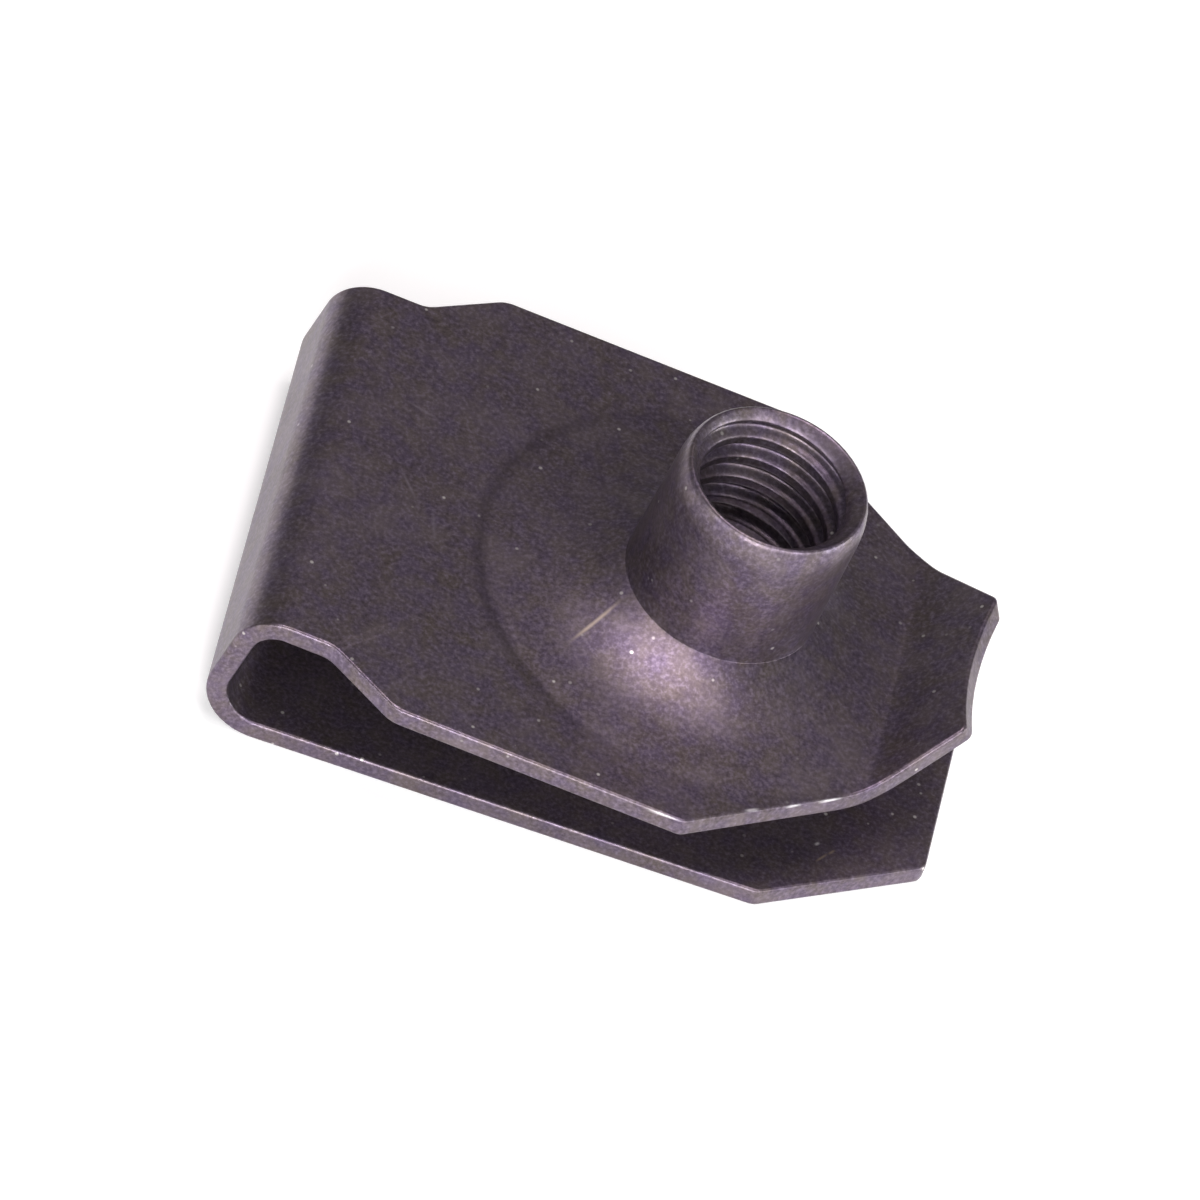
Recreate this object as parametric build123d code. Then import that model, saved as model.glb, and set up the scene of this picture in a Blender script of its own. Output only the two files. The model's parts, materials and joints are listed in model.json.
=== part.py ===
"""U clip nut: one strip of spring steel, folded into two leaves, with a threaded barrel.

Millimetres. The clip rests on its lower leaf, with +Z up. The origin is the centre of the
lower leaf's free hole, on the underside. +X points to the open end of the clip, which
slides over the edge of a panel. The fold is at -X. The upper leaf falls towards the open
end, and the barrel stands square to it, right above the hole. Both leaves are symmetric
about the XZ plane.
"""

from build123d import *
import os
from math import cos, radians, sin, tan

# Strip
SHEET = 0.7  # thickness of the spring steel
EDGE_ROUND = 0.12  # tumbled radius along the sheared edges
CORNER_ROUND = 0.5  # radius of the blanked corners, seen from above

# Lower leaf
STRIP_WIDTH = 16.0  # width of the lower leaf and of the fold
LOWER_END = 9.3  # from the hole's centre to the lower leaf's free edge
LOWER_CUT_START = 4.2  # where the corner cuts of the lower leaf begin
LOWER_END_WIDTH = 9.2  # width of the free edge between the corner cuts
CLEARANCE_RADIUS = 3.75  # free hole that the screw passes before it meets the thread

# Fold
FOLD_REACH = 15.25  # from the hole's centre to the sharp corner of the heel
HEEL_INSIDE = 1.3  # bend radius between the lower leaf and the fold's wall
SHOULDER_INSIDE = 0.85  # bend radius between the fold's wall and the upper leaf
WALL_LEAN = 9.5  # degrees that the fold's wall leans towards the open end

# Upper leaf
PANEL_GAP = 3.02  # clear height between the leaves above the hole's centre
LEAF_SLOPE = 4.2  # degrees that the upper leaf falls towards the open end
LEAF_WIDTH = 19.2  # full width of the upper leaf
WIDEN_START = -11.5  # where the strip begins to widen past the fold
WIDEN_END = -9.05  # where it reaches the full width
WIDEN_ROUND = 1.0  # radius at both ends of the widening
SIDE_CUT_START = 0.95  # where the long side cuts of the upper leaf begin
SIDE_CUT_ANGLE = 37.0  # degrees between a side cut and the strip's length

# Entry lip at the open end of the upper leaf
LIP_FOLD = 6.4  # from the hole's centre to the lip's sharp fold line
LIP_ANGLE = 38.0  # degrees that the lip rises above the rest plane
LIP_LENGTH = 3.15  # from the fold line to the lip's end
LIP_INSIDE = 2.1  # bend radius on the lip's upper side
LIP_HOLLOW = 0.42  # depth of the shallow arc cut into the lip's end
LIP_CORNER = 0.35  # radius of the lip's two corners

# Shallow dish that carries the barrel
DISH_RADIUS = 7.9  # where the dish leaves the flat of the upper leaf
DISH_RISE = 0.5  # height that the dish gains by the barrel's wall

# Drawn and threaded barrel
BARREL_HEIGHT = 6.45  # rim above the upper leaf's face
BARREL_RADIUS = 3.24  # outside, just under the rim
BARREL_DRAFT = 0.8  # degrees by which the wall opens towards its root
ROOT_FILLET = 0.45  # outside, where the barrel rises from the dish
ENTRY_ROUND = 0.55  # inside, where the sheet turns up into the barrel
BORE_RADIUS = 2.46  # crest of the M6 x 1 thread, 4.92 across
MOUTH_RADIUS = 2.85  # outer radius of the coned mouth
MOUTH_DEPTH = 0.2  # depth of the cone at the mouth
RIM_ROUND = 0.2  # outer edge of the rim

WALL_TILT = radians(WALL_LEAN)
SLOPE = radians(LEAF_SLOPE)
LIP_RISE = radians(LIP_ANGLE)
LEAF_TOP = SHEET + PANEL_GAP + SHEET / cos(SLOPE)  # upper leaf's face above the hole
PARTING = SHEET + 0.75 * PANEL_GAP  # level between the leaves, on the fold's straight wall
HEADROOM = LEAF_TOP + BARREL_HEIGHT + BARREL_RADIUS  # above everything

leaf_plane = Plane(
    origin=(0, 0, LEAF_TOP), x_dir=(cos(SLOPE), 0, -sin(SLOPE)), z_dir=(sin(SLOPE), 0, cos(SLOPE))
)


def leaf_height(x):
    """Height of the upper leaf's flat face above the rest plane at x."""
    return LEAF_TOP - x * tan(SLOPE)


def lip_point(distance):
    """Point on the lip's upper side, at a distance from the fold line, as (x, z)."""
    return LIP_FOLD + distance * cos(LIP_RISE), leaf_height(LIP_FOLD) + distance * sin(LIP_RISE)


def folded_strip():
    """The strip's constant section, folded round the panel gap, at the full leaf width."""
    shoulder_z = (LEAF_TOP + FOLD_REACH * tan(SLOPE)) / (1 + tan(WALL_TILT) * tan(SLOPE))
    shoulder_x = -FOLD_REACH + shoulder_z * tan(WALL_TILT)
    corners = [
        (LOWER_END, 0),
        (-FOLD_REACH, 0),
        (shoulder_x, shoulder_z),
        (LIP_FOLD, leaf_height(LIP_FOLD)),
        lip_point(LIP_LENGTH),
    ]
    bends = [HEEL_INSIDE + SHEET, SHOULDER_INSIDE + SHEET, LIP_INSIDE]
    with BuildSketch(Plane.XZ) as section:
        with BuildLine():
            outside = FilletPolyline(*corners, radius=bends)
            offset(outside, amount=SHEET, side=Side.RIGHT)
        make_face()
    return extrude(section.sketch, LEAF_WIDTH / 2, both=True)


def mirrored_outline(half, rounds):
    """Closed outline from the points of its +Y half, with one corner radius for each."""
    other_half = [(x, -y) for x, y in reversed(half)]
    loop = FilletPolyline(*half, *other_half, radius=rounds + rounds[::-1], close=True)
    return make_face(loop.edges())


def lower_outline():
    """Lower leaf and fold seen from above, with the corner cuts of the free end."""
    back = -FOLD_REACH - SHEET
    half = [
        (back, STRIP_WIDTH / 2),
        (LOWER_CUT_START, STRIP_WIDTH / 2),
        (LOWER_END, LOWER_END_WIDTH / 2),
    ]
    return mirrored_outline(half, [0, CORNER_ROUND, CORNER_ROUND])


def upper_outline():
    """Upper leaf seen from above: the widening, the long side cuts and the narrow lip."""
    back = -FOLD_REACH - SHEET
    full = LEAF_WIDTH / 2
    taper = tan(radians(SIDE_CUT_ANGLE))
    lip_end = lip_point(LIP_LENGTH)[0] + SHEET * sin(LIP_RISE)
    at_fold = full - taper * (LIP_FOLD - SIDE_CUT_START) / cos(SLOPE)
    at_end = at_fold - taper * (lip_end - LIP_FOLD) / cos(LIP_RISE)
    half = [
        (back, STRIP_WIDTH / 2),
        (WIDEN_START, STRIP_WIDTH / 2),
        (WIDEN_END, full),
        (SIDE_CUT_START, full),
        (LIP_FOLD, at_fold),
        (lip_end, at_end),
    ]
    blend = 3 * LIP_INSIDE
    return mirrored_outline(half, [0, WIDEN_ROUND, WIDEN_ROUND, CORNER_ROUND, blend, 0])


def blanked(strip):
    """The strip cut to its outlines: the lower one up to the parting level, then the upper."""
    lower = extrude(Pos(Z=-SHEET) * lower_outline(), PARTING + SHEET)
    upper = extrude(Pos(Z=PARTING) * upper_outline(), HEADROOM - PARTING)
    return strip & (lower + upper)


def hollow_lip(strip):
    """The lip's end cut to a shallow arc, with its two corners rounded."""
    end_x, end_z = lip_point(LIP_LENGTH)
    across = (cos(LIP_RISE), 0, sin(LIP_RISE))
    end_plane = Plane(origin=(end_x, 0, end_z), x_dir=across, z_dir=(-across[2], 0, across[0]))
    along_lip = Axis((0, 0, 0), across)
    half_width = strip.faces().sort_by(along_lip)[-1].bounding_box().size.Y / 2
    radius = (half_width**2 + LIP_HOLLOW**2) / (2 * LIP_HOLLOW)
    strip -= end_plane * Pos(X=radius - LIP_HOLLOW) * Cylinder(radius, 4 * SHEET)
    end_edges = strip.faces().sort_by(along_lip)[-1].edges()
    return fillet(end_edges.sort_by(SortBy.LENGTH)[:2], LIP_CORNER)


def tumbled(strip):
    """The sheared edges rounded, all the way along both faces of the strip."""
    free_end = strip.faces().sort_by(Axis.X)[-1]
    return fillet(free_end.edges().filter_by(Axis.Y), EDGE_ROUND)


def dished(strip):
    """The upper leaf pressed up to a very shallow cone round the barrel's root."""
    slope = DISH_RISE / (DISH_RADIUS - BARREL_RADIUS)
    top_radius = BARREL_RADIUS / 2
    height = slope * (DISH_RADIUS - top_radius)
    cone = Cone(DISH_RADIUS, top_radius, height, align=(Align.CENTER, Align.CENTER, Align.MIN))
    return (strip + leaf_plane * cone) - leaf_plane * Pos(Z=-SHEET) * cone


def barrel():
    """The drawn barrel as a solid plug, upright on the XY plane."""
    foot = DISH_RISE - SHEET / 2
    height = BARREL_HEIGHT - foot
    foot_radius = BARREL_RADIUS + height * tan(radians(BARREL_DRAFT))
    base = Align.CENTER, Align.CENTER, Align.MIN
    plug = Pos(Z=foot) * Cone(foot_radius, BARREL_RADIUS, height, align=base)
    return fillet(plug.edges().sort_by(Axis.Z)[-1], RIM_ROUND)


def with_barrel(strip):
    """The barrel joined to the dish, square to the leaf, with a fillet round its root."""
    plug = leaf_plane * barrel()
    joined = strip + plug
    root = new_edges(strip, plug, combined=joined)
    return fillet(root.sort_by(Axis.Z)[-1:], ROOT_FILLET)


def bored(strip):
    """The barrel's bore, rounded where the sheet turns up into it and coned at its mouth."""
    base = Align.CENTER, Align.CENTER, Align.MIN
    tool = leaf_plane * Pos(Z=-1.5 * SHEET) * Cylinder(BORE_RADIUS, HEADROOM, align=base)
    entry = new_edges(strip, tool, combined=strip - tool).sort_by(Axis.Z)[0]
    mouth = Cone(BORE_RADIUS, MOUTH_RADIUS, MOUTH_DEPTH, align=base)
    return fillet(entry, ENTRY_ROUND) - leaf_plane * Pos(Z=BARREL_HEIGHT - MOUTH_DEPTH) * mouth


part = bored(with_barrel(dished(tumbled(hollow_lip(blanked(folded_strip()))))))
part -= Cylinder(CLEARANCE_RADIUS, 2 * PARTING)
part.label = "u_clip"

os.makedirs("parts", exist_ok=True)
export_step(part, "parts/u_clip.step")
print("u_clip", part.is_valid, len(part.solids()), round(part.volume, 2), part.bounding_box())
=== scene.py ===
"""U clip nut in black phosphated spring steel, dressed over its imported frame.

The clip's form comes from the frame. This script cuts the thread that the frame leaves
out, flares the bore's mouth and the dish, rolls the rim in, and dresses the steel.
Lengths in the dataclasses are in millimetres unless a name says otherwise, and angles
are in degrees.
"""

import json
import logging
import math
from dataclasses import dataclass, field
from enum import Enum

import bmesh
import bpy
from mathutils import Matrix, Vector

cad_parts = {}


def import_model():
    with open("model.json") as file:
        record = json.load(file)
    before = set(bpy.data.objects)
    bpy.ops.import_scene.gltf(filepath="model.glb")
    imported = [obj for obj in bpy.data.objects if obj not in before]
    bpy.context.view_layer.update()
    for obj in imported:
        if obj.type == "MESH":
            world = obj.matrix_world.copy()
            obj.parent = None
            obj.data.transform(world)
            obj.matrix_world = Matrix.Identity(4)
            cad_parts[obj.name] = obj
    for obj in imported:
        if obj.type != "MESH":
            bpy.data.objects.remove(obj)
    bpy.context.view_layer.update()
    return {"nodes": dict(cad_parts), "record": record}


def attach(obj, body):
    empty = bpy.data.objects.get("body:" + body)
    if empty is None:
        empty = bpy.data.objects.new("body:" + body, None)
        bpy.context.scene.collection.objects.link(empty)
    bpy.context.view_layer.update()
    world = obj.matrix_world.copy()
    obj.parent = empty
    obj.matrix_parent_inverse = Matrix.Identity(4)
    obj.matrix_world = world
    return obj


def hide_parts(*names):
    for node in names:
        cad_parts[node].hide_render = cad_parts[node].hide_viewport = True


MM = 0.001  # metres in a millimetre
WELD = 2e-7  # metres within which the frame's loose corners are one point
NEAR = 1e-6  # metres within which two heights or radii count as equal

log = logging.getLogger("u_clip_scene")


class ThreadHand(Enum):
    """Which way a thread climbs: turned clockwise, a right-hand screw moves away."""

    RIGHT = 1
    LEFT = -1


def linear(hex_colour: str) -> tuple[float, float, float, float]:
    """Turn an sRGB hex colour into the linear values that shaders take.

    Args:
        hex_colour: Six hex digits, such as "4a424b".

    Returns:
        Red, green, blue and an alpha of 1.
    """
    channels = []
    for start in (0, 2, 4):
        value = int(hex_colour[start : start + 2], 16) / 255
        low = value / 12.92
        high = ((value + 0.055) / 1.055) ** 2.4
        channels.append(low if value <= 0.04045 else high)
    return (*channels, 1.0)


def add_node(
    tree: bpy.types.NodeTree, kind: str, options: dict | None = None, inputs: dict | None = None
) -> bpy.types.Node:
    """Add one shader node.

    Args:
        tree: Node tree that takes the node.
        kind: Blender's name of the node's type.
        options: The node's attributes, with the value that each gets.
        inputs: Input names or numbers, with the socket that feeds each or its constant.

    Returns:
        The new node.
    """
    node = tree.nodes.new(kind)
    for name, value in (options or {}).items():
        setattr(node, name, value)
    for name, value in (inputs or {}).items():
        if isinstance(value, bpy.types.NodeSocket):
            tree.links.new(value, node.inputs[name])
        else:
            node.inputs[name].default_value = value
    return node


def multiply(
    tree: bpy.types.NodeTree, first: bpy.types.NodeSocket, second: bpy.types.NodeSocket | float
) -> bpy.types.NodeSocket:
    """Multiply a socket by another socket or by a constant.

    Args:
        tree: The material's node tree.
        first: Socket to multiply.
        second: Socket or constant to multiply it by.

    Returns:
        The product's socket.
    """
    node = add_node(
        tree, "ShaderNodeMath", {"operation": "MULTIPLY"}, {0: first, 1: second}
    )
    return node.outputs["Value"]


@dataclass(frozen=True)
class Gate:
    """A mask that opens as a socket's value runs from one number to another."""

    value: bpy.types.NodeSocket
    shut: float
    full: float

    def opening(self, tree: bpy.types.NodeTree) -> bpy.types.NodeSocket:
        """Build the mask.

        Args:
            tree: The coat's node tree.

        Returns:
            A socket that is 0 where the gate is shut and 1 where it is full.
        """
        return add_node(
            tree,
            "ShaderNodeMapRange",
            None,
            {"Value": self.value, "From Min": self.shut, "From Max": self.full},
        ).outputs["Result"]


def lay_tint(
    tree: bpy.types.NodeTree,
    under: bpy.types.NodeSocket | tuple[float, float, float, float],
    tint: str,
    strength: float,
    gates: list[Gate],
) -> bpy.types.NodeSocket:
    """Lay a tint over a coat where every gate is open.

    Args:
        tree: The coat's node tree.
        under: Colour below, as a socket or a constant.
        tint: Colour laid on it, as an sRGB hex value.
        strength: Share of the tint where all the gates are full.
        gates: Masks, which are multiplied.

    Returns:
        The mixed colour's socket.
    """
    share = gates[0].opening(tree)
    for gate in gates[1:]:
        share = multiply(tree, share, gate.opening(tree))
    share = multiply(tree, share, strength)
    mix = add_node(
        tree, "ShaderNodeMix", {"data_type": "RGBA"}, {0: share, 6: under, 7: linear(tint)}
    )
    return mix.outputs[2]


@dataclass(frozen=True)
class ScuffAndGlint:
    """One straight mark on the coat: its ends from above, its width and its heights. It is a
    scuff or a scratch, except on the sheared edges, where it is a rubbed spot painted near
    white as a glint.

    Its mask is full at the soft values and shut at the box's faces, in shares of its size.
    """

    start: tuple[float, float]
    end: tuple[float, float]
    width: float
    bottom: float
    top: float
    tint: str
    strength: float
    soft_end: float = 0.15
    soft_side: float = 0.05
    soft_height: float = 0.4

    def gates(self, tree: bpy.types.NodeTree, place: bpy.types.NodeSocket) -> list[Gate]:
        """Build the masks of a box round the scratch, which fade towards its faces.

        Args:
            tree: The coat's node tree.
            place: Object coordinates, in metres.

        Returns:
            One gate for the box's length, one for its width and one for its height.
        """
        run = Vector(self.end) - Vector(self.start)
        middle = (Vector(self.end) + Vector(self.start)) / 2
        box = add_node(
            tree,
            "ShaderNodeMapping",
            {"vector_type": "TEXTURE"},
            {
                "Vector": place,
                "Location": Vector((*middle, (self.bottom + self.top) / 2)) * MM,
                "Rotation": (0, 0, math.atan2(run.y, run.x)),
                "Scale": Vector((run.length, self.width, self.top - self.bottom)) * MM,
            },
        ).outputs["Vector"]
        size = add_node(tree, "ShaderNodeVectorMath", {"operation": "ABSOLUTE"}, {0: box})
        axes = add_node(
            tree, "ShaderNodeSeparateXYZ", None, {"Vector": size.outputs["Vector"]}
        ).outputs
        face = 0.5  # the box's faces lie half its size from its middle
        return [
            Gate(axes["X"], face, self.soft_end),
            Gate(axes["Y"], face, self.soft_side),
            Gate(axes["Z"], face, self.soft_height),
        ]


RUBBED_GLINT = "ece6ea"  # the coat worn through at the edges, painted near white as a glint
SCUFFED = "8f8490"  # the coat burnished by handling
BEIGE = "bfafa2"  # a deeper scratch with dust in it
TAN = "b39f8c"  # the same, shallower

SCUFFS_AND_GLINTS = (
    # One long scratch across the dish, and a bent one on the lower leaf
    ScuffAndGlint((-4.25, -4.27), (-2.9, -2.1), 0.18, 3.5, 6.5, BEIGE, 0.75),
    ScuffAndGlint((5.75, -5.9), (6.1, -5.35), 0.12, 0.5, 1.0, TAN, 0.7),
    ScuffAndGlint((6.1, -5.4), (6.3, -5.1), 0.12, 0.5, 1.0, TAN, 0.7),
    # Scuffs on the upper leaf near the fold
    ScuffAndGlint((-11.4, 3.6), (-10.1, 3.3), 0.14, 4.0, 6.5, SCUFFED, 0.5),
    ScuffAndGlint((-11.0, 0.7), (-10.1, -0.6), 0.16, 4.0, 6.5, SCUFFED, 0.5),
    ScuffAndGlint((-9.6, -0.5), (-9.2, -2.1), 0.2, 4.0, 6.5, SCUFFED, 0.4),
    # Rubbed spots along the upper leaf's sheared edge, and one on the lower leaf: worn coat,
    # painted near white as glints
    ScuffAndGlint((-9.6, -9.5), (-9.2, -9.6), 0.2, 4.95, 5.6, RUBBED_GLINT, 0.7),
    ScuffAndGlint((-0.4, -9.6), (0.9, -9.6), 0.14, 4.28, 4.8, RUBBED_GLINT, 0.5),
    ScuffAndGlint((2.7, -8.15), (3.2, -7.8), 0.14, 4.08, 4.6, RUBBED_GLINT, 0.7),
    ScuffAndGlint((4.0, -7.3), (4.5, -6.9), 0.12, 4.0, 4.5, RUBBED_GLINT, 0.7),
    ScuffAndGlint((5.0, -6.55), (5.8, -5.95), 0.16, 3.92, 4.4, RUBBED_GLINT, 0.9),
    ScuffAndGlint((5.6, -5.2), (5.75, -5.0), 0.16, 0.5, 1.0, RUBBED_GLINT, 0.9),
)


@dataclass(frozen=True)
class BlackPhosphateSteel:
    """Spring steel, blanked and formed, with a black phosphate coat grown on it in a bath.

    The coat's crystals scatter light, so it reads as a dark metal with a broad soft sheen.
    They are about 0.01 mm across, too fine to show, so the grain is drawn at about 0.14 mm.
    The hue drifts between violet and brown, as the coat's thickness does.
    """

    name: str = "black_phosphate_steel"
    violet: str = "64586a"
    brown: str = "665b5a"
    grain_dark: str = "41383d"
    grain_light: str = "8d8091"
    dust: str = "d8d2d0"
    roughness: float = 0.39
    metallic: float = 0.85
    # Each noise: features per millimetre, and octaves
    grain_noise: tuple[float, float] = (7.0, 3.0)
    hue_noise: tuple[float, float] = (1.3, 2.0)
    blotch_noise: tuple[float, float] = (0.65, 4.0)
    octave_roughness: float = 0.6
    # Each range: the noise's value where the tint starts, and where it is full
    dark_range: tuple[float, float] = (0.5, 0.25)
    light_range: tuple[float, float] = (0.5, 0.75)
    hue_range: tuple[float, float] = (0.35, 0.65)
    blotch_range: tuple[float, float] = (0.45, 0.7)
    grain_strength: float = 0.7
    blotch_strength: float = 0.25
    dust_per_mm: float = 1.4
    dust_reach: float = 0.11  # in cells, so a speck is about 0.08 mm in radius
    dust_share: float = 0.5
    bump: float = 0.12
    bump_height: float = 0.012
    # Painted shade: a dark ring in the crease where the leaf turns up into the dish, on the
    # fold's side alone
    shade_ring_inside: tuple[float, float] = (7.55, 7.9)
    shade_ring_outside: tuple[float, float] = (8.3, 7.95)
    shade_ring_side: tuple[float, float] = (-2.0, -6.0)
    shade_ring_height: tuple[float, float] = (3.5, 4.0)
    shade_ring_strength: float = 0.45
    scuffs_and_glints: tuple[ScuffAndGlint, ...] = SCUFFS_AND_GLINTS

    def noises(
        self, tree: bpy.types.NodeTree, place: bpy.types.NodeSocket
    ) -> list[bpy.types.NodeSocket]:
        """Add the coat's three noises.

        Args:
            tree: The coat's node tree.
            place: Object coordinates, in metres.

        Returns:
            The grain's, the hue's and the blotches' values.
        """
        return [
            add_node(
                tree,
                "ShaderNodeTexNoise",
                None,
                {
                    "Vector": place,
                    "Scale": per_mm / MM,
                    "Detail": octaves,
                    "Roughness": self.octave_roughness,
                },
            ).outputs["Fac"]
            for per_mm, octaves in (self.grain_noise, self.hue_noise, self.blotch_noise)
        ]

    def dust_gates(self, tree: bpy.types.NodeTree, place: bpy.types.NodeSocket) -> list[Gate]:
        """Build the masks of tiny pale specks, in a share of many cells.

        Args:
            tree: The coat's node tree.
            place: Object coordinates, in metres.

        Returns:
            A gate for each speck's disc, and one that picks the cells that have a speck.
        """
        cells = add_node(
            tree,
            "ShaderNodeTexVoronoi",
            None,
            {"Vector": place, "Scale": self.dust_per_mm / MM},
        ).outputs
        pick = add_node(tree, "ShaderNodeSeparateColor", None, {"Color": cells["Color"]})
        return [
            Gate(cells["Distance"], self.dust_reach, self.dust_reach / 2),
            Gate(pick.outputs[0], self.dust_share, 1.0),
        ]

    def shade_ring_gates(self, tree: bpy.types.NodeTree, place: bpy.types.NodeSocket) -> list[Gate]:
        """Build the masks of the painted shade ring in the dish's crease, on the upper leaf
        alone.

        Args:
            tree: The coat's node tree.
            place: Object coordinates, in metres.

        Returns:
            Gates for the ring's inside and outside, its side and its height.
        """
        flat = add_node(
            tree, "ShaderNodeMapping", None, {"Vector": place, "Scale": (1, 1, 0)}
        )
        radius = add_node(
            tree, "ShaderNodeVectorMath", {"operation": "LENGTH"}, {0: flat.outputs["Vector"]}
        ).outputs["Value"]
        axes = add_node(tree, "ShaderNodeSeparateXYZ", None, {"Vector": place}).outputs
        return [
            Gate(value, shut * MM, full * MM)
            for value, (shut, full) in (
                (radius, self.shade_ring_inside),
                (radius, self.shade_ring_outside),
                (axes["X"], self.shade_ring_side),
                (axes["Z"], self.shade_ring_height),
            )
        ]

    def material(self) -> bpy.types.Material:
        """Build the coat's material.

        Returns:
            A node material that reads Object coordinates.
        """
        made = bpy.data.materials.new(self.name)
        made.use_nodes = True
        tree = made.node_tree
        tree.nodes.clear()
        place = add_node(tree, "ShaderNodeTexCoord").outputs["Object"]
        grain, hue, blotch = self.noises(tree, place)
        colour = linear(self.violet)
        layers = [
            (self.brown, 1.0, [Gate(hue, *self.hue_range)]),
            (self.grain_dark, self.grain_strength, [Gate(grain, *self.dark_range)]),
            (self.grain_light, self.grain_strength, [Gate(grain, *self.light_range)]),
            (self.grain_light, self.blotch_strength, [Gate(blotch, *self.blotch_range)]),
            # Scuffs and scratches, and near-white glints painted on the sheared edges
            *((mark.tint, mark.strength, mark.gates(tree, place)) for mark in self.scuffs_and_glints),
            # Painted shade in the crease round the dish
            (self.grain_dark, self.shade_ring_strength, self.shade_ring_gates(tree, place)),
            (self.dust, 1.0, self.dust_gates(tree, place)),
        ]
        for tint, strength, gates in layers:
            colour = lay_tint(tree, colour, tint, strength, gates)
        bump = add_node(
            tree,
            "ShaderNodeBump",
            None,
            {"Height": grain, "Strength": self.bump, "Distance": self.bump_height * MM},
        )
        coat = add_node(
            tree,
            "ShaderNodeBsdfPrincipled",
            None,
            {
                "Base Color": colour,
                "Metallic": self.metallic,
                "Roughness": self.roughness,
                "Normal": bump.outputs["Normal"],
            },
        )
        add_node(tree, "ShaderNodeOutputMaterial", None, {"Surface": coat.outputs["BSDF"]})
        return made


@dataclass(frozen=True)
class MattePaper:
    """Uncoated white studio paper: no glare, and no grain that shows from this far.

    It stays white to the eye and in the clip's sheen, still takes the clip's shadow, and is
    clear from underneath, so that the clip's underside can be seen.
    """

    name: str = "studio_paper"
    colour: str = "f4f4f4"
    white: str = "ffffff"
    roughness: float = 0.9
    specular: float = 0.1
    backdrop_glow: float = 0.25

    def material(self) -> bpy.types.Material:
        """Build the paper's material.

        Returns:
            A plain matte node material.
        """
        made = bpy.data.materials.new(self.name)
        made.use_nodes = True
        tree = made.node_tree
        tree.nodes.clear()
        path = add_node(tree, "ShaderNodeLightPath").outputs
        seen = path["Is Camera Ray"]
        for kind in ("Is Glossy Ray", "Is Transmission Ray"):
            seen = add_node(
                tree, "ShaderNodeMath", {"operation": "MAXIMUM"}, {0: seen, 1: path[kind]}
            ).outputs["Value"]
        sheet = add_node(
            tree,
            "ShaderNodeBsdfPrincipled",
            None,
            {
                "Base Color": linear(self.colour),
                "Roughness": self.roughness,
                "Specular IOR Level": self.specular,
                "Emission Color": linear(self.white),
                "Emission Strength": multiply(tree, seen, self.backdrop_glow),
            },
        )
        clear = add_node(tree, "ShaderNodeBsdfTransparent")
        under = add_node(tree, "ShaderNodeNewGeometry").outputs["Backfacing"]
        one_sided = add_node(
            tree,
            "ShaderNodeMixShader",
            None,
            {0: under, 1: sheet.outputs["BSDF"], 2: clear.outputs["BSDF"]},
        )
        add_node(
            tree, "ShaderNodeOutputMaterial", None, {"Surface": one_sided.outputs["Shader"]}
        )
        return made


@dataclass
class Thread:
    """The metric thread formed in the barrel's bore, and the bore's flared mouth.

    It stands upright on the XY plane, with its heights measured along the barrel's axis
    from the middle of the bore's wall. Its crest is that wall's radius. The groove is
    shallow and soft, as formed threads in thin sheet are. It fades in from the lower end,
    and runs out in the flare under the rim.
    """

    crest_radius: float
    wall_length: float
    rim_height: float
    rim_radius: float
    pitch: float = 1.0
    root_radius: float = 2.84
    crest_edge: float = 3 / 8  # from the root's middle, in pitches
    root_edge: float = 1 / 16
    hand: ThreadHand = ThreadHand.RIGHT
    start_margin: float = 0.25
    fade_in: float = 0.7
    flare_depth: float = 0.5
    flare_curve: float = 1.5
    softness: float = 0.07
    rows_per_pitch: int = 28
    segments: int = 128

    @property
    def first_height(self) -> float:
        """Height at which the thread leaves the plain wall."""
        return self.start_margin - self.wall_length / 2

    def groove(self, height: float, turn: float) -> float:
        """Give the groove's share of its full depth.

        Args:
            height: Height along the axis.
            turn: Angle round the axis, in turns.

        Returns:
            0 on the crest's flat, 1 on the root's flat, and the flanks between.
        """
        phase = (height / self.pitch - self.hand.value * turn) % 1.0
        from_root = abs(phase - 0.5)
        share = (self.crest_edge - from_root) / (self.crest_edge - self.root_edge)
        share = max(0.0, min(1.0, share))
        return share * share * (3 - 2 * share)

    def radius(self, height: float, turn: float) -> float:
        """Give the wall's radius: the thread's or the flare's, whichever is wider.

        Args:
            height: Height along the axis.
            turn: Angle round the axis, in turns.

        Returns:
            The radius, with a soft change from one to the other.
        """
        below = height - self.first_height
        fade = max(0.0, min(1.0, below / self.fade_in))
        depth = (self.root_radius - self.crest_radius) * fade
        thread = self.crest_radius + depth * self.groove(height, turn)
        rise = 1 - (self.rim_height - height) / self.flare_depth
        if rise <= 0:
            return thread
        if rise >= 1:
            return self.rim_radius
        widening = (self.rim_radius - self.crest_radius) * rise**self.flare_curve
        flare = self.crest_radius + widening
        over = (thread - flare) / self.softness
        blended = flare + self.softness * math.log1p(math.exp(over))
        return min(blended, self.rim_radius)

    def wall(self) -> bmesh.types.BMesh:
        """Spin a plain tube and press the thread and the flare into it.

        Returns:
            An open tube, in metres, from first_height to the rim.
        """
        mesh = bmesh.new()
        length = self.rim_height - self.first_height
        rows = round(length / self.pitch * self.rows_per_pitch)
        heights = [self.first_height + length * row / rows for row in range(rows + 1)]
        column = [mesh.verts.new(Vector((self.crest_radius, 0, z)) * MM) for z in heights]
        edges = [mesh.edges.new(pair) for pair in zip(column, column[1:])]
        bmesh.ops.spin(
            mesh,
            geom=column + edges,
            cent=(0, 0, 0),
            axis=(0, 0, 1),
            angle=math.tau,
            steps=self.segments,
            use_merge=True,
        )
        for vert in mesh.verts:
            turn = math.atan2(vert.co.y, vert.co.x) / math.tau
            vert.co.xy *= self.radius(vert.co.z / MM, turn) * MM / vert.co.xy.length
        return mesh


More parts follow.
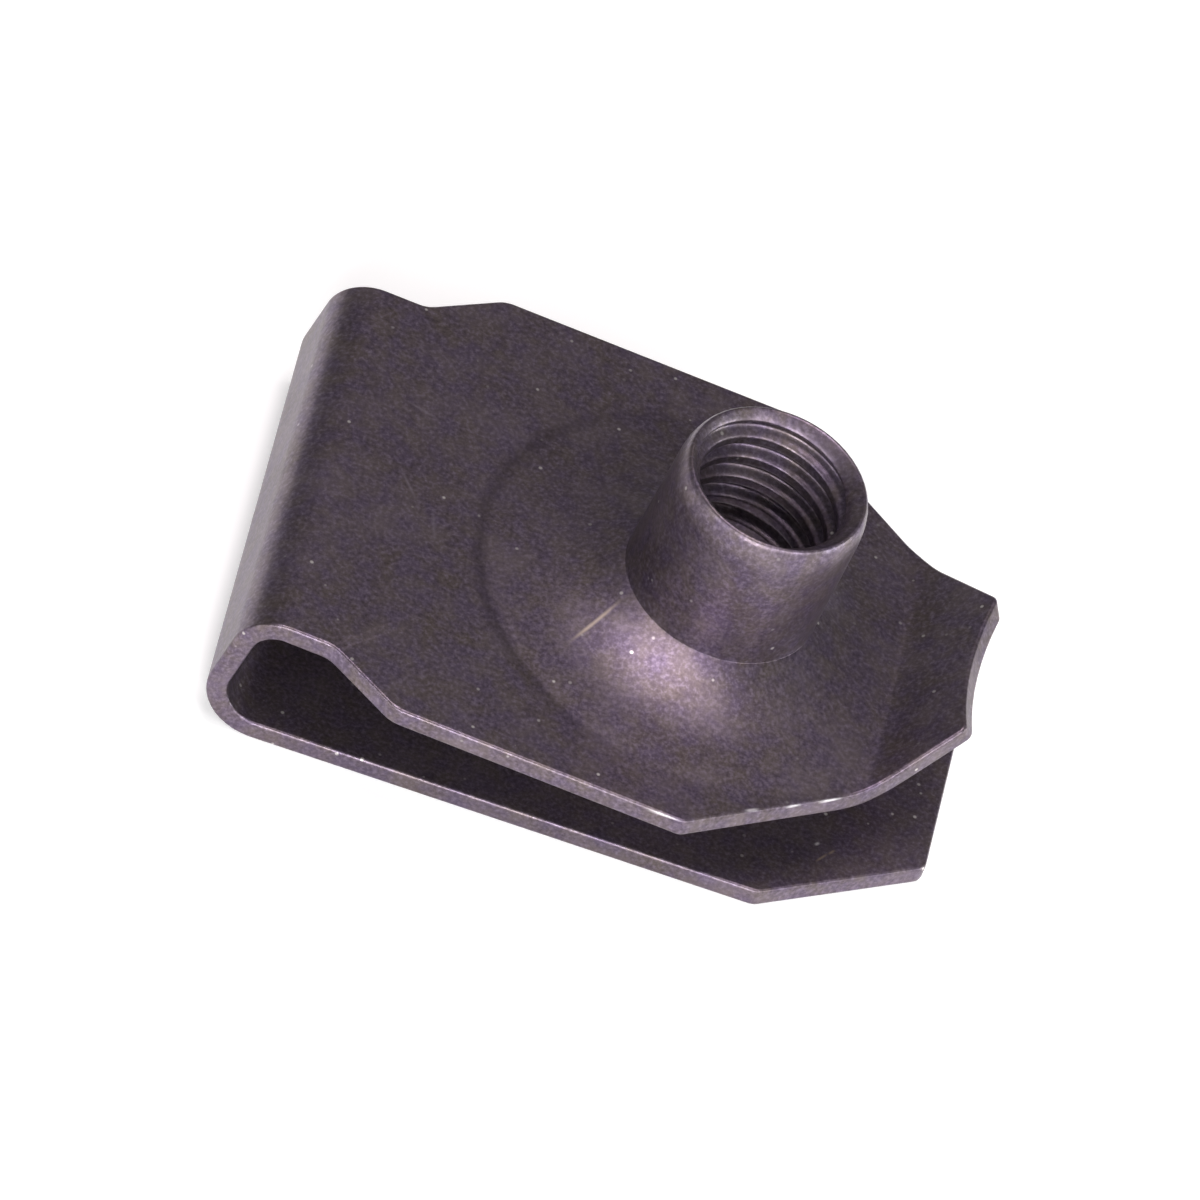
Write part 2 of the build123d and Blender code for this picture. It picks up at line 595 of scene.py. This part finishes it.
@dataclass
class DrawnForm:
    """The soft form that drawing leaves outside the barrel, at its root and at its rim.

    The frame has a straight cone with a fillet at the barrel's root, and a straight wall.
    This closes the fillet up, raises the cone's upper face by a curve that steepens towards
    the wall, and rolls the wall's top in.
    """

    wall_radius: float = 3.1  # all outer faces lie outside it, all bore faces inside
    root_radius: float = 3.33  # corner of the wall and the cone
    cone_height: float = 0.49
    dish_radius: float = 7.9
    rise: float = 0.62
    rise_inner: float = 3.35
    rise_outer: float = 6.6
    steepness: float = 2.2
    fillet: float = 0.45
    fillet_kept: float = 0.04  # share of the fillet that is left
    roll_height: float = 1.15
    roll_in: float = 0.3
    longest_facet: float = 0.3
    cuts: int = 5
    reach_past_dish: float = 0.2
    reach_above_leaf: float = 1.25
    wall_above_leaf: float = 1.0
    # How far outside its nominal place a point may lie and still count
    height_slack: float = 0.06
    radius_slack: float = 0.03
    fillet_slack: float = 0.02

    def lift(self, radius: float) -> float:
        """Give the dish's added height at a radius from the barrel's axis."""
        span = (self.rise_outer - radius) / (self.rise_outer - self.rise_inner)
        return self.rise * max(0.0, min(1.0, span)) ** self.steepness

    def on_dish(self, vert: bmesh.types.BMVert, leaf: float, reach: float) -> bool:
        """Tell whether a point lies on the dish's upper face.

        Args:
            vert: A point of the clip in the barrel's frame, in metres.
            leaf: Height of the upper leaf's flat face in that frame.
            reach: Largest radius that counts.

        Returns:
            True for a point on the dish or at the barrel's root.
        """
        height = vert.co.z / MM - leaf
        radius = vert.co.xy.length / MM
        above = -self.height_slack < height < self.reach_above_leaf
        return above and self.wall_radius < radius < reach

    def refine(self, body: bmesh.types.BMesh, leaf: float) -> None:
        """Divide the long edges that run along the dish's slope and up the wall.

        Args:
            body: The clip in the barrel's frame, in metres.
            leaf: Height of the upper leaf's flat face in that frame.
        """
        reach = self.dish_radius + self.reach_past_dish
        long_edges = []
        for edge in body.edges:
            first, second = edge.verts
            run = abs(first.co.xy.length - second.co.xy.length) / MM
            climb = abs(first.co.z - second.co.z) / MM
            outside = all(vert.co.xy.length > self.wall_radius * MM for vert in edge.verts)
            if all(self.on_dish(vert, leaf, reach) for vert in edge.verts):
                if run > self.longest_facet:
                    long_edges.append(edge)
            elif outside and climb > self.longest_facet:
                if first.co.z / MM > leaf + self.wall_above_leaf:
                    long_edges.append(edge)
        bmesh.ops.subdivide_edges(body, edges=long_edges, cuts=self.cuts)

    def tighten_root(self, body: bmesh.types.BMesh, leaf: float) -> None:
        """Shrink the fillet at the barrel's root towards its corner.

        Args:
            body: The clip in the barrel's frame, in metres.
            leaf: Height of the upper leaf's flat face in that frame.
        """
        corner_height = leaf + self.cone_height
        end = self.fillet + self.fillet_slack
        for vert in body.verts:
            out = vert.co.xy.length / MM - self.root_radius
            up = vert.co.z / MM - corner_height
            if -self.radius_slack < out < end and -self.height_slack < up < end:
                radius = self.root_radius + out * self.fillet_kept
                vert.co.xy *= radius * MM / vert.co.xy.length
                vert.co.z = (corner_height + up * self.fillet_kept) * MM

    def shape(self, body: bmesh.types.BMesh, leaf: float, rim: float) -> None:
        """Refine the dish's upper face and the barrel's wall, and bend them.

        Args:
            body: The clip in the barrel's frame, in metres.
            leaf: Height of the upper leaf's flat face in that frame.
            rim: Height of the rim in that frame.
        """
        self.tighten_root(body, leaf)
        self.refine(body, leaf)
        top = max(v.co.xy.length for v in body.verts if v.co.z / MM > rim - self.roll_height)
        for vert in body.verts:
            if self.on_dish(vert, leaf, self.rise_outer):
                vert.co.z += self.lift(vert.co.xy.length / MM) * MM
            share = min(1.0, 1 - (rim - vert.co.z / MM) / self.roll_height)
            if share > 0:
                rolled = top - self.roll_in * MM * (1 - math.sqrt(1 - share**2))
                vert.co.xy *= min(1.0, rolled / vert.co.xy.length)


@dataclass
class ClipNut:
    """The folded clip: the frame's solid with its bore's wall replaced by the thread."""

    node: bpy.types.Object
    bore: dict
    finish: BlackPhosphateSteel = field(default_factory=BlackPhosphateSteel)
    drawn: DrawnForm = field(default_factory=DrawnForm)
    rim_land: float = 0.02
    ring_band: float = 0.05
    sharp_degrees: float = 50.0
    flat_weight: int = 80
    name: str = "clip_nut"

    def barrel_frame(self) -> Matrix:
        """Give the frame whose Z is the barrel's axis, from the middle of the bore."""
        up = -Vector(self.bore["axis"])
        turn = up.to_track_quat("Z", "Y").to_matrix().to_4x4()
        return Matrix.Translation(self.bore["pos_m"]) @ turn

    def leaf_height(self, body: bmesh.types.BMesh) -> float:
        """Give the height of the ring where the dish leaves the leaf's flat face.

        Args:
            body: The clip in the barrel's frame, in metres.

        Returns:
            The upper leaf's height in that frame, in millimetres.
        """
        low = self.drawn.dish_radius - self.ring_band
        high = self.drawn.dish_radius + self.ring_band
        return max(v.co.z for v in body.verts if low < v.co.xy.length / MM < high) / MM

    def build(self) -> bpy.types.Object:
        """Merge the frame's facets, flare the dish, open the bore and join the thread.

        Returns:
            The finished clip as one closed mesh.
        """
        place = self.barrel_frame()
        body = bmesh.new()
        body.from_mesh(self.node.data)
        bmesh.ops.remove_doubles(body, verts=body.verts, dist=WELD)
        body.transform(place.inverted())
        rim = max(vert.co.z for vert in body.verts)
        self.drawn.shape(body, self.leaf_height(body), rim / MM)
        edge = max(vert.co.xy.length for vert in body.verts if vert.co.z > rim - NEAR)
        thread = Thread(
            crest_radius=self.bore["dims"]["r_mm"],
            wall_length=self.bore["dims"]["length_mm"],
            rim_height=rim / MM,
            rim_radius=edge / MM - self.rim_land,
        )
        start = thread.first_height * MM
        self.open_bore(body, start, rim, edge)
        self.add_wall(body, thread)
        for height in (start, rim):
            self.close_seam(body, height)
        body.transform(place)
        bmesh.ops.recalc_face_normals(body, faces=body.faces)
        mesh = bpy.data.meshes.new(self.name)
        body.to_mesh(mesh)
        body.free()
        clip = bpy.data.objects.new(self.name, mesh)
        bpy.context.scene.collection.objects.link(clip)
        return clip

    def open_bore(self, body: bmesh.types.BMesh, start: float, rim: float, edge: float) -> None:
        """Take out the bore's plain wall, the mouth's cone and the rim's flat.

        Args:
            body: The clip in the barrel's frame.
            start: Height of the cut, in metres.
            rim: Height of the rim, in metres.
            edge: Outer radius of the rim, in metres.
        """
        bmesh.ops.bisect_plane(
            body,
            geom=body.verts[:] + body.edges[:] + body.faces[:],
            plane_co=(0, 0, start),
            plane_no=(0, 0, 1),
            dist=WELD / 2,
        )
        body.normal_update()
        wall = []
        for face in body.faces:
            centre = face.calc_center_median()
            inside = all(vert.co.xy.length < edge + NEAR for vert in face.verts)
            flat = all(vert.co.z > rim - NEAR for vert in face.verts)
            if inside and centre.z > start and (flat or face.normal.xy.dot(centre.xy) < 0):
                wall.append(face)
        bmesh.ops.delete(body, geom=wall, context="FACES")

    def add_wall(self, body: bmesh.types.BMesh, thread: Thread) -> None:
        """Put the threaded wall into the opened bore.

        Args:
            body: The clip in the barrel's frame, which takes the wall's faces.
            thread: The thread in the same frame.
        """
        tube = thread.wall()
        lining = bpy.data.meshes.new("thread_wall")
        tube.to_mesh(lining)
        tube.free()
        body.from_mesh(lining)
        bpy.data.meshes.remove(lining)

    def close_seam(self, body: bmesh.types.BMesh, height: float) -> None:
        """Bridge the threaded wall's end to the barrel.

        Args:
            body: The clip in the barrel's frame.
            height: Height of both open loops, in metres.
        """
        loops = [
            edge
            for edge in body.edges
            if edge.is_boundary and all(abs(vert.co.z - height) < NEAR for vert in edge.verts)
        ]
        bmesh.ops.bridge_loops(body, edges=loops)

    def dress(self, clip: bpy.types.Object) -> None:
        """Give the clip its coat, and shade its flats flat and its rounds smooth.

        Args:
            clip: The clip's object.
        """
        clip.data.materials.append(self.finish.material())
        clip.data.shade_smooth()
        clip.data.set_sharp_from_angle(angle=math.radians(self.sharp_degrees))
        weighted = clip.modifiers.new("even_shading", "WEIGHTED_NORMAL")
        weighted.keep_sharp = True
        weighted.weight = self.flat_weight
        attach(clip, "root")
        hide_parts("u_clip")
        log.info("%s: %d faces", clip.name, len(clip.data.polygons))


@dataclass(frozen=True)
class SoftLight:
    """One soft lamp on a dome over the clip, aimed at its middle."""

    name: str
    heading: float
    elevation: float
    power: float
    colour: str = "ffffff"
    width_m: float = 0.24
    distance_m: float = 0.5

    def build(self, target: Vector) -> bpy.types.Object:
        """Hang the lamp.

        Args:
            target: Point that the lamp faces, in metres.

        Returns:
            The lamp's object.
        """
        turn, rise = math.radians(self.heading), math.radians(self.elevation)
        away = Vector(
            (math.cos(rise) * math.cos(turn), math.cos(rise) * math.sin(turn), math.sin(rise))
        )
        data = bpy.data.lights.new(self.name, "AREA")
        data.shape = "DISK"
        data.size = self.width_m
        data.energy = self.power
        data.color = linear(self.colour)[:3]
        lamp = bpy.data.objects.new(self.name, data)
        lamp.location = target + away * self.distance_m
        lamp.rotation_euler = (-away).to_track_quat("-Z", "Y").to_euler()
        bpy.context.scene.collection.objects.link(lamp)
        return lamp


LAMPS = (
    SoftLight("front", 270, 24, 2.1),
    SoftLight("front_left", 225, 22, 0.6),
    SoftLight("front_right", 315, 30, 1.15),
    SoftLight("right", 0, 8, 1.2, "f6fff8"),
    # A hair off 90, where a heading has no meaning
    SoftLight("overhead", 0, 89.9, 1.3, "fff6f8"),
)


@dataclass
class Studio:
    """Paper under the clip, soft lamps, a dim white room, and the camera."""

    paper: MattePaper = field(default_factory=MattePaper)
    lamps: tuple[SoftLight, ...] = LAMPS
    lamp_target: tuple[float, float, float] = (-3.0, 0.0, 4.0)
    floor_size_m: float = 2.0
    floor_gap: float = 0.02
    room_colour: str = "ffffff"
    room_level: float = 0.16
    camera_heading: float = 5.62
    camera_elevation: float = 45.33
    camera_roll: float = 22.53
    camera_distance: float = 640.0
    camera_near: float = 10.0
    sensor_width: float = 36.0
    focal_ratio: float = 16.3975
    aim: tuple[float, float, float] = (-3.212, 1.667, 1.300)

    def build_floor(self) -> bpy.types.Object:
        """Lay the paper a hair under the clip, so that the two faces never coincide.

        Returns:
            The paper's object.
        """
        mesh = bmesh.new()
        bmesh.ops.create_grid(mesh, x_segments=1, y_segments=1, size=self.floor_size_m / 2)
        bmesh.ops.translate(mesh, vec=(0, 0, -self.floor_gap * MM), verts=mesh.verts)
        data = bpy.data.meshes.new("paper")
        mesh.to_mesh(data)
        mesh.free()
        floor = bpy.data.objects.new("paper", data)
        data.materials.append(self.paper.material())
        bpy.context.scene.collection.objects.link(floor)
        return floor

    def light(self) -> None:
        """Hang the lamps and set the room's level."""
        for lamp in self.lamps:
            lamp.build(Vector(self.lamp_target) * MM)
        world = bpy.data.worlds.new("room")
        world.use_nodes = True
        back = world.node_tree.nodes["Background"]
        back.inputs["Color"].default_value = linear(self.room_colour)
        back.inputs["Strength"].default_value = self.room_level
        bpy.context.scene.world = world

    def place_camera(self) -> bpy.types.Object:
        """Set the camera at its heading, elevation and roll.

        Returns:
            The camera's object, which is also the scene's camera.
        """
        heading = math.radians(self.camera_heading)
        rise = math.radians(self.camera_elevation)
        level = math.cos(rise)
        look = Vector((math.sin(heading) * level, math.cos(heading) * level, -math.sin(rise)))
        data = bpy.data.cameras.new("camera")
        data.sensor_width = self.sensor_width
        data.lens = self.focal_ratio * data.sensor_width
        data.clip_start = self.camera_near * MM
        camera = bpy.data.objects.new("camera", data)
        turn = look.to_track_quat("-Z", "Y").to_matrix()
        turn = turn @ Matrix.Rotation(math.radians(self.camera_roll), 3, "Z")
        eye = (Vector(self.aim) - look * self.camera_distance) * MM
        camera.matrix_world = Matrix.Translation(eye) @ turn.to_4x4()
        bpy.context.scene.collection.objects.link(camera)
        bpy.context.scene.camera = camera
        return camera


def main() -> None:
    """Build the clip and its studio in order."""
    logging.basicConfig(level=logging.INFO)
    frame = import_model()
    mounts = {mount["name"]: mount for mount in frame["record"]["mounts"]}
    clip_nut = ClipNut(frame["nodes"]["u_clip"], mounts["thread"])
    clip_nut.dress(clip_nut.build())
    studio = Studio()
    studio.build_floor()
    studio.light()
    studio.place_camera()
    bpy.context.scene.view_settings.view_transform = "Standard"


if __name__ == "__main__":
    main()
